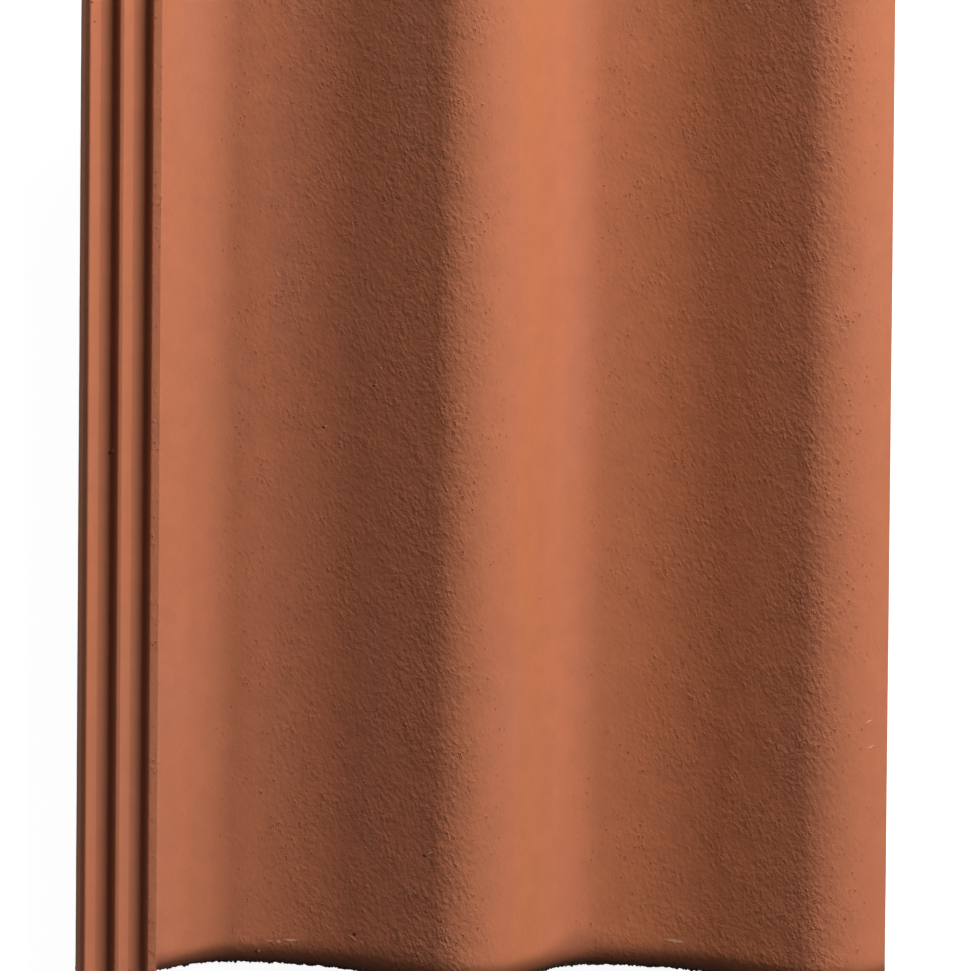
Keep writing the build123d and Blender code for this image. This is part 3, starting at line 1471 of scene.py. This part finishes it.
@dataclass(frozen=True)
class ColourDrift:
    """Slow drifts of the coat between a warm and a rosy tone, drawn out along the tile."""

    drawn: Triple = (1.0, 0.22, 1.0)
    size: float = 24.0
    rosy_range: tuple[float, float] = (0.5, 0.25)
    wobble: float = 9.0
    # Warmer bands: the wide one over the second trough's rising flank; the narrow one is partly painted
    # light, warming the middle roll's brightly lit steep flank in place of the sheen that leaves the faces
    # round it pinker
    warm_bands: tuple[ToneBand, ...] = (ToneBand(82.0, 42.0, 0.55), ToneBand(20.0, 6.0, 0.6))
    # painted shade: the first trough is darkened a little
    painted_shade_band: ToneBand = ToneBand(-108.0, 15.0, 0.11)
    shade_size: float = 8.0
    shade_range: tuple[float, float] = (0.25, 0.75)
    shades: tuple[float, float] = (0.965, 1.035)

    def group(self) -> bpy.types.NodeTree:
        """Builds the group, which gives the colour.

        Returns:
            The group.
        """
        group = Group("colour_drift", "ShaderNodeTree")
        place = group.takes("Vector", "NodeSocketVector")
        base, warm, rosy = (group.takes(name, "NodeSocketColor") for name in ("Base", "Warm", "Rosy"))
        drawn = group.vector("MULTIPLY", place, self.drawn)
        wide = group.noise(drawn, self.size, detail=1.0, seed=3.0)
        wobble = group.maths("MULTIPLY", group.maths("SUBTRACT", wide, NOISE_MIDDLE), self.wobble)
        across = group.maths("ADD", group.add("ShaderNodeSeparateXYZ", {0: place}).outputs[0], wobble)
        colour = group.blend(group.remap(wide, *self.rosy_range), base, rosy)
        for band in self.warm_bands:
            colour = group.blend(band.share(group, across), colour, warm)
        shade = group.noise(place, self.shade_size, detail=2.0, seed=5.0)
        shade = group.remap(shade, *self.shade_range, *self.shades)
        # painted shade along the first trough
        shade = group.maths("SUBTRACT", shade, self.painted_shade_band.share(group, across))
        group.gives("Color", "NodeSocketColor", group.vector("SCALE", colour, shade))
        return group.tree


@dataclass(frozen=True)
class ConcreteFinish:
    """Brick-red coated concrete, and the bare cast concrete of its underside and cut head."""

    coat: Rgba = (0.445, 0.143, 0.067, 1.0)
    warm: Rgba = (0.460, 0.147, 0.058, 1.0)
    rosy: Rgba = (0.436, 0.145, 0.074, 1.0)
    bare: Rgba = (0.300, 0.125, 0.078, 1.0)
    # the outer wall: partly its own duller tone, partly painted light that makes the shaded wall paler
    wall_tone_and_painted_fill: Rgba = (0.600, 0.255, 0.150, 1.0)
    # painted shade: near the nose's lower edge the colour is darkened, and its last millimetres are blended
    # towards this near black; the lock's grooves are blended towards it too
    painted_shade: Rgba = (0.070, 0.042, 0.028, 1.0)
    painted_shade_share: float = 0.8
    painted_shade_range: tuple[float, float] = (0.62, 0.97)
    edge_shade: float = 0.66
    edge_range: tuple[float, float] = (0.0, 0.5)
    # painted shade: how far the grooves are blended towards the near-black shade colour
    groove_shade_share: float = 0.28
    # colour in the grain's pits: partly their own darker red, partly painted shade in the hollows
    pit: Rgba = (0.255, 0.041, 0.018, 1.0)
    pit_lift: tuple[float, float] = (0.3, 1.0)
    # colour of the dark marks: real pits and dots, and painted shadows and shaded sides beside a crumb, a
    # streak and small lumps
    hole: Rgba = (0.110, 0.028, 0.017, 1.0)
    hole_height: float = -1.4
    # colour of the pale marks: real chips, crumbs and scuffs, and the painted lit sides of small lumps
    pale: Rgba = (0.620, 0.360, 0.240, 1.0)
    pale_height: float = 1.0
    drift: ColourDrift = ColourDrift()
    grain: SandyGrain = SandyGrain()
    coat_roughness: float = 0.74
    bare_roughness: float = 0.93
    specular: float = 0.25
    bump_depth: float = 0.21
    bare_grain: float = 1.6
    # painted shade: how much the grain's tone darkens its hollows
    hollow_shade: float = 0.14


@dataclass(frozen=True)
class Mark:
    """A small mark at its pixel in the photograph, with half sizes in millimetres and a turn in degrees."""

    name: str
    pixel: tuple[float, float]
    half_length: float
    half_width: float
    turn: float
    tone: Tone
    strength: float = 1.0


# Some marks are painted light and shade: the dark marks beside the groove's crumb and the head's streak are
# their painted shadows, and each small lump has a dark side of painted shade and a pale side of painted
# light, with a bump as well.
MARKS = (
    Mark("groove_crumb", (113.1, 450.6), 0.65, 0.55, 80.0, Tone.PALE),
    Mark("groove_crumb_shadow", (109.6, 453.0), 0.8, 0.6, 0.0, Tone.DARK),
    Mark("head_streak", (748.0, 7.0), 1.8, 0.45, -32.0, Tone.PALE, 0.6),
    Mark("head_streak_shade", (745.5, 10.0), 1.5, 0.4, -32.0, Tone.DARK, 0.5),
    Mark("head_pit", (778.5, 7.5), 0.5, 0.6, 0.0, Tone.DARK, 0.9),
    Mark("flank_pit", (424.0, 856.3), 0.75, 0.65, 0.0, Tone.DARK),
    Mark("flank_chip", (429.5, 853.5), 1.0, 0.4, 38.0, Tone.PALE, 0.9),
    Mark("trough_lump_shade", (322.8, 427.6), 0.65, 0.5, 0.0, Tone.DARK),
    Mark("trough_lump_light", (325.6, 426.4), 0.5, 0.4, 0.0, Tone.PALE, 1.0),
    Mark("rising_lump_shade", (373.4, 386.2), 0.6, 0.5, 0.0, Tone.DARK),
    Mark("rising_lump_light", (376.0, 385.0), 0.5, 0.45, 0.0, Tone.PALE, 1.0),
    Mark("speck_high", (378.0, 364.9), 0.8, 0.4, 0.0, Tone.PALE, 0.6),
    Mark("speck_low", (380.9, 368.4), 0.5, 0.6, 0.0, Tone.PALE, 0.6),
    Mark("rib_chip", (91.8, 2.7), 0.8, 0.5, 0.0, Tone.DARK, 0.7),
    Mark("rib_speck", (94.4, 22.0), 0.45, 0.45, 0.0, Tone.DARK, 0.6),
    Mark("roll_scratch_high", (869.0, 721.5), 1.4, 0.35, 22.0, Tone.PALE, 0.7),
    Mark("roll_scratch_low", (871.0, 747.2), 1.6, 0.4, 20.0, Tone.PALE, 0.8),
    Mark("crest_dot", (539.3, 599.0), 0.6, 0.5, 0.0, Tone.DARK, 0.3),
    Mark("scuff_left", (269.0, 941.0), 1.5, 0.6, 0.0, Tone.PALE, 0.5),
    Mark("scuff_middle", (278.0, 941.8), 1.1, 0.9, 0.0, Tone.PALE, 0.5),
    Mark("scuff_right", (290.5, 940.4), 3.4, 0.65, 0.0, Tone.PALE, 0.65),
    Mark("second_scuff", (674.5, 941.4), 4.2, 0.75, -3.0, Tone.PALE, 0.55),
    Mark("edge_chip", (258.7, 951.1), 0.65, 0.55, 0.0, Tone.PALE, 1.0),
    Mark("edge_pit", (255.6, 952.3), 0.7, 0.5, 0.0, Tone.DARK),
    Mark("nose_pit", (354.0, 934.9), 1.0, 0.9, 0.0, Tone.DARK),
    Mark("nose_streak", (353.2, 938.4), 2.2, 0.4, -34.0, Tone.PALE, 0.7),
    Mark("nose_speck", (361.6, 942.4), 0.5, 0.5, 0.0, Tone.PALE, 0.8),
)


def found_marks(tile: Object, camera: "PhotoCamera") -> list[tuple[Mark, Vector]]:
    """Finds where each mark's pixel falls on the tile.

    Args:
        tile: The tile on its place in the frame.
        camera: The photograph's viewpoint.

    Returns:
        The marks that fall on the tile, each with its place in millimetres.
    """
    tree = BVHTree.FromObject(tile, bpy.context.evaluated_depsgraph_get())
    spots = []
    for mark in MARKS:
        hit = tree.ray_cast(*camera.ray(mark.pixel))[0]
        if hit is None:
            log.warning("%s misses the tile", mark.name)
        else:
            spots.append((mark, hit / METRES_PER_MM))
    return spots


def marks_group(spots: list[tuple[Mark, Vector]]) -> bpy.types.NodeTree:
    """Builds the chips, pits and scuffs, and the painted light and shade of small lumps and crumbs,
    as a pale and a dark mask, each mark seen from above on its place.

    Args:
        spots: The marks and their places in millimetres.

    Returns:
        The group.
    """
    group = Group("small_marks", "ShaderNodeTree")
    place = group.takes("Vector", "NodeSocketVector")
    shake = group.noise(place, RAGGED_SIZE, detail=1.0, seed=9.0)
    shake = group.maths("SUBTRACT", shake, NOISE_MIDDLE)
    ragged = group.vector("ADD", place, group.vector("SCALE", RAGGED_REACH, shake))
    masks: dict[Tone, Any] = {tone: 0.0 for tone in Tone}
    for mark, centre in spots:
        inputs = {
            "Vector": ragged,
            "Location": centre,
            "Rotation": (0.0, 0.0, math.radians(mark.turn)),
            "Scale": (mark.half_length, mark.half_width, THROUGH),
        }
        local = group.add("ShaderNodeMapping", inputs, vector_type="TEXTURE").outputs[0]
        cover = group.remap(group.vector("LENGTH", local), *MARK_FADE, 0.0, mark.strength)
        masks[mark.tone] = group.maths("MAXIMUM", masks[mark.tone], cover)
    for tone, mask in masks.items():
        group.gives(tone.value, "NodeSocketFloat", mask)
    return group.tree


def point_value(graph: Graph, attribute: Attribute) -> NodeSocket:
    """A point value of the mesh inside a material."""
    return graph.add("ShaderNodeAttribute", attribute_name=attribute.value).outputs["Fac"]


@dataclass
class ConcreteSkin:
    """The tile's material, and the same one with the small marks, for the faces near them alone."""

    finish: ConcreteFinish = field(default_factory=ConcreteFinish)
    mark_reach: float = 8.0
    material: Material = field(init=False)
    marked: Material = field(init=False)
    grain: bpy.types.NodeTree = field(init=False)
    drift: bpy.types.NodeTree = field(init=False)

    def __post_init__(self) -> None:
        """Makes the shared groups and both materials, the marked one still empty."""
        self.grain = self.finish.grain.group()
        self.drift = self.finish.drift.group()
        self.material = bpy.data.materials.new("coated_concrete")
        self.marked = bpy.data.materials.new("marked_concrete")
        self.dress(self.material, [])

    def base_colour(self, graph: Graph, place: NodeSocket, coat: NodeSocket) -> NodeSocket:
        """Lays the drifting coat, the bare underside, the outer wall's paler tone, which is partly painted
        light, and the painted shade in the grooves and along the lower edge.

        Args:
            graph: The material's node tree.
            place: The place in millimetres.
            coat: Where the coat lies.

        Returns:
            The colour.
        """
        finish = self.finish
        tones = {"Vector": place, "Base": finish.coat, "Warm": finish.warm, "Rosy": finish.rosy}
        drift = graph.group(self.drift, tones)
        colour = graph.blend(coat, finish.bare, drift.outputs["Color"])
        # the outer wall: its own duller tone, painted paler as light on the shaded wall
        colour = graph.blend(point_value(graph, Attribute.WALL_TONE_AND_PAINTED_FILL), colour, finish.wall_tone_and_painted_fill)
        # painted shade in the lock's grooves, darkest at the foot of each wall
        groove_shade = graph.maths("MULTIPLY", point_value(graph, Attribute.GROOVE_SHADE), finish.groove_shade_share)
        colour = graph.blend(groove_shade, colour, finish.painted_shade)
        # painted shade: the lower edge is darkened and, nearest the edge, blended towards near black
        edge = point_value(graph, Attribute.EDGE)
        shade = graph.remap(edge, *finish.edge_range, 1.0, finish.edge_shade)
        painted_shade = graph.remap(edge, *finish.painted_shade_range, 0.0, finish.painted_shade_share)
        return graph.blend(painted_shade, graph.vector("SCALE", colour, shade), finish.painted_shade)

    def mark(self, body: Object, spots: list[tuple[Mark, Vector]]) -> None:
        """Lays the marks' material and gives it to the faces near them.

        Args:
            body: The tile.
            spots: The small marks and their places in millimetres.
        """
        self.dress(self.marked, spots)
        mesh = body.data
        mesh.materials.append(self.marked)
        centres = rows_of(mesh.polygons, "center")[:, :2] / METRES_PER_MM
        near = np.zeros(len(centres), bool)
        for _, spot in spots:
            near |= np.linalg.norm(centres - np.array(spot[:2]), axis=1) < self.mark_reach
        mesh.polygons.foreach_set("material_index", near.astype(np.int32))

    def dress(self, material: Material, spots: list[tuple[Mark, Vector]]) -> None:
        """Lays a material's nodes.

        Args:
            material: The material.
            spots: The small marks that it shows and their places in millimetres.
        """
        finish = self.finish
        material.use_nodes = True
        graph = Graph(material.node_tree)
        shader = material.node_tree.nodes["Principled BSDF"]
        place = graph.vector("SCALE", graph.add("ShaderNodeTexCoord").outputs["Object"], 1 / METRES_PER_MM)
        coat = point_value(graph, Attribute.COAT)
        grain = graph.group(self.grain, {"Vector": place, **finish.grain.sizes()}).outputs
        patchy = graph.maths("MULTIPLY", point_value(graph, Attribute.GRAIN), grain["Patch"])
        bare_lift = graph.maths("MULTIPLY_ADD", coat, -finish.bare_grain, finish.bare_grain)
        lift = graph.maths("MULTIPLY_ADD", coat, patchy, bare_lift)
        # painted shade in the grain's hollows, stronger where the grain is
        tone = graph.maths("MULTIPLY", grain["Tone"], graph.maths("MULTIPLY", lift, finish.hollow_shade))
        colour = graph.vector("SCALE", self.base_colour(graph, place, coat), graph.maths("ADD", tone, 1.0))
        # the pits are painted darker: partly their own tone, partly painted shade
        pits = graph.maths("MULTIPLY", grain["Pits"], graph.remap(lift, *finish.pit_lift))
        colour = graph.blend(pits, colour, finish.pit)
        height = graph.maths("MULTIPLY", grain["Height"], lift)
        if spots:
            marks = graph.group(marks_group(spots), {"Vector": place}).outputs
            # pale and dark marks, among them painted shadows and the painted lit and shaded sides of small
            # lumps
            pale, dark = (graph.maths("MULTIPLY", marks[kind.value], coat) for kind in Tone)
            colour = graph.blend(pale, graph.blend(dark, colour, finish.hole), finish.pale)
            height = graph.maths("MULTIPLY_ADD", dark, finish.hole_height, height)
            height = graph.maths("MULTIPLY_ADD", pale, finish.pale_height, height)
        relief = {"Height": height, "Distance": finish.bump_depth * METRES_PER_MM}
        bump = graph.add("ShaderNodeBump", relief)
        change = finish.coat_roughness - finish.bare_roughness
        roughness = graph.maths("MULTIPLY_ADD", coat, change, finish.bare_roughness)
        graph.put(roughness, shader.inputs["Roughness"])
        graph.put(colour, shader.inputs["Base Color"])
        graph.put(bump.outputs[0], shader.inputs["Normal"])
        shader.inputs["Specular IOR Level"].default_value = finish.specular


# The camera and the light

@dataclass(frozen=True)
class PhotoCamera:
    """The photograph's viewpoint: far off, leaning over the head end, with the tile nearly square to it."""

    image_width: int = 970
    image_height: int = 971
    pixels_per_mm: float = 2.446
    distance: float = 17.0
    sensor: float = 36.0
    lean: float = 12.7
    roll: float = -0.49
    centre: tuple[float, float, float] = (0.0004, -0.00313, 0.030)

    def axes(self) -> Matrix:
        """Finds the camera's right, up and back directions as a matrix's columns.

        Returns:
            The matrix.
        """
        lean, roll = math.radians(self.lean), math.radians(self.roll)
        back = Vector((0, math.sin(lean), math.cos(lean)))
        up = Vector((0, math.cos(lean), -math.sin(lean)))
        right = Vector((1, 0, 0))
        turned_right = right * math.cos(roll) - up * math.sin(roll)
        turned_up = right * math.sin(roll) + up * math.cos(roll)
        return Matrix((turned_right, turned_up, back)).transposed()

    def ray(self, pixel: tuple[float, float]) -> tuple[Vector, Vector]:
        """Finds the ray through a pixel of the photograph.

        Args:
            pixel: Its place from the left and from the top.

        Returns:
            The ray's start and its direction.
        """
        axes = self.axes()
        step = METRES_PER_MM / self.pixels_per_mm
        right = (pixel[0] - self.image_width / 2) * step
        up = (self.image_height / 2 - pixel[1]) * step
        start = Vector(self.centre) + axes.col[2] * self.distance
        seen = Vector(self.centre) + axes.col[0] * right + axes.col[1] * up
        return start, (seen - start).normalized()

    def build(self) -> Object:
        """Builds the camera and makes it the scene's own.

        Returns:
            The camera.
        """
        data = bpy.data.cameras.new("camera")
        data.sensor_width = self.sensor
        seen = self.image_height / self.pixels_per_mm * METRES_PER_MM
        data.lens = self.sensor * self.distance / seen
        data.clip_end = self.distance * 3
        camera = bpy.data.objects.new("camera", data)
        axes = self.axes()
        place = Vector(self.centre) + axes.col[2] * self.distance
        camera.matrix_world = Matrix.Translation(place) @ axes.to_4x4()
        bpy.context.scene.collection.objects.link(camera)
        bpy.context.scene.camera = camera
        return camera


@dataclass(frozen=True)
class Softbox:
    """One rectangular soft light."""

    name: str
    place: tuple[float, float, float]
    target: tuple[float, float, float]
    width: float
    height: float
    power: float

    def build(self) -> Object:
        """Builds the light, aimed at its target.

        Returns:
            The light.
        """
        data = bpy.data.lights.new(self.name, "AREA")
        data.shape = "RECTANGLE"
        data.size, data.size_y, data.energy = self.width, self.height, self.power
        light = bpy.data.objects.new(self.name, data)
        light.location = self.place
        aim = Vector(self.target) - Vector(self.place)
        light.rotation_euler = aim.to_track_quat("-Z", "Y").to_euler()
        bpy.context.scene.collection.objects.link(light)
        return light


@dataclass(frozen=True)
class SkyGlow:
    """A soft patch of the surroundings that lights the tile from one direction."""

    source: tuple[float, float, float]
    spread: tuple[float, float]
    strength: float

    def share(self, graph: Graph, direction: NodeSocket) -> NodeSocket:
        """Works out how bright the patch is.

        Args:
            graph: The world's node tree.
            direction: The direction of the surroundings that is asked for.

        Returns:
            The brightness.
        """
        toward = graph.vector("DOT_PRODUCT", direction, tuple(Vector(self.source).normalized()))
        return graph.remap(toward, *self.spread, 0.0, self.strength)


@dataclass
class Studio:
    """The plain pale floor, the soft light and the white surroundings."""

    camera: PhotoCamera = field(default_factory=PhotoCamera)
    wide_key: Softbox = Softbox("wide_key", (1.6, 2.65, 1.55), (-0.3, 2.65, 0.01), 4.5, 1.386, 115.0)
    near_key: Softbox = Softbox("near_key", (1.9, 2.9, 1.42), (0.0, 0.0, 0.02), 2.0, 1.4, 110.0)
    ambient: float = 0.015
    back_glow: SkyGlow = SkyGlow((-0.6, 1.0, 0.1), (0.35, 0.95), 0.64)
    front_glow: SkyGlow = SkyGlow((0.0, -1.0, 0.05), (0.75, 1.0), 0.2)
    floor_size: float = 16.0
    floor_colour: Rgba = (0.40, 0.40, 0.40, 1.0)
    floor_glow: float = 0.93
    floor_show: float = 0.5

    def build_world(self) -> None:
        """Lights the scene softly from all round and shows white behind it."""
        world = bpy.data.worlds.new("surroundings")
        bpy.context.scene.world = world
        world.use_nodes = True
        graph = Graph(world.node_tree)
        background = world.node_tree.nodes["Background"]
        background.inputs["Color"].default_value = WHITE
        seen = graph.add("ShaderNodeLightPath").outputs["Is Camera Ray"]
        direction = graph.add("ShaderNodeTexCoord").outputs["Generated"]
        glow = graph.maths("ADD", self.ambient, self.back_glow.share(graph, direction))
        glow = graph.maths("ADD", glow, self.front_glow.share(graph, direction))
        strength = graph.add("ShaderNodeMix", {0: seen, 2: glow, 3: 1.0}, data_type="FLOAT").outputs[0]
        graph.put(strength, background.inputs["Strength"])

    def floor_material(self) -> Material:
        """Makes a pale matte floor that the camera sees as nearly white, with the object's shadow kept.

        Returns:
            The material.
        """
        material = bpy.data.materials.new("pale_floor")
        material.use_nodes = True
        graph = Graph(material.node_tree)
        nodes = material.node_tree.nodes
        nodes.remove(nodes["Principled BSDF"])
        matte = graph.add("ShaderNodeBsdfDiffuse", {"Color": self.floor_colour})
        shown = graph.add("ShaderNodeBsdfDiffuse", {"Color": (self.floor_show,) * 3 + (1.0,)})
        glow = graph.add("ShaderNodeEmission", {"Strength": self.floor_glow})
        both = graph.add("ShaderNodeAddShader", {0: shown.outputs[0], 1: glow.outputs[0]})
        seen = graph.add("ShaderNodeLightPath").outputs["Is Camera Ray"]
        mix = graph.add("ShaderNodeMixShader", {0: seen, 1: matte.outputs[0], 2: both.outputs[0]})
        graph.put(mix.outputs[0], nodes["Material Output"].inputs["Surface"])
        return material

    def build_floor(self) -> Object:
        """Builds the floor on which the tile lies.

        Returns:
            The floor.
        """
        half = self.floor_size / 2
        mesh = bpy.data.meshes.new("floor")
        corners = [(-half, -half, 0), (half, -half, 0), (half, half, 0), (-half, half, 0)]
        mesh.from_pydata(corners, [], [(0, 1, 2, 3)])
        mesh.materials.append(self.floor_material())
        floor = bpy.data.objects.new("floor", mesh)
        bpy.context.scene.collection.objects.link(floor)
        return floor

    def build(self) -> None:
        """Builds everything round the tile."""
        self.camera.build()
        self.wide_key.build()
        self.near_key.build()
        self.build_world()
        self.build_floor()
        bpy.context.scene.view_settings.view_transform = "Standard"


# The whole scene

def finish_mesh(body: Object, material: Material) -> None:
    """Smooths a finished mesh between its sharp edges and leaves it one material.

    Args:
        body: The piece.
        material: Its material.
    """
    mesh = body.data
    mesh.shade_smooth()
    mesh.set_sharp_from_angle(angle=math.radians(SHARP_ANGLE))
    mesh.materials.clear()
    mesh.materials.append(material)


def claim(piece: Object) -> None:
    """Declares a piece as part of the tile and reports it.

    Args:
        piece: The piece.
    """
    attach(piece, "root")
    triangles = sum(len(face.vertices) - 2 for face in piece.data.polygons)
    log.info("%s: %d triangles", piece.name, triangles)


def main() -> None:
    """Builds the studio and the tile."""
    logging.basicConfig(level=logging.INFO, format="%(name)s %(message)s")
    studio = Studio()
    studio.build()
    skin = ConcreteSkin()
    repeat = repeat_tree(skin.material)
    body = TileBody(TileSection(TileSizes()))
    tile = body.build(repeat)
    body.mark_zones(tile)
    Placement(body.ribs, body.nibs).lay(tile)
    CastRelief().dress(tile, skin.material)
    tile.name = tile.data.name = "tile_body"
    finish_mesh(tile, skin.material)
    crumbs = EdgeCrumbs().scatter(tile, skin.material)
    finish_mesh(crumbs, skin.material)
    skin.mark(tile, found_marks(tile, studio.camera))
    claim(tile)
    claim(crumbs)
    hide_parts(NODE_NAME)


if __name__ == "__main__":
    main()
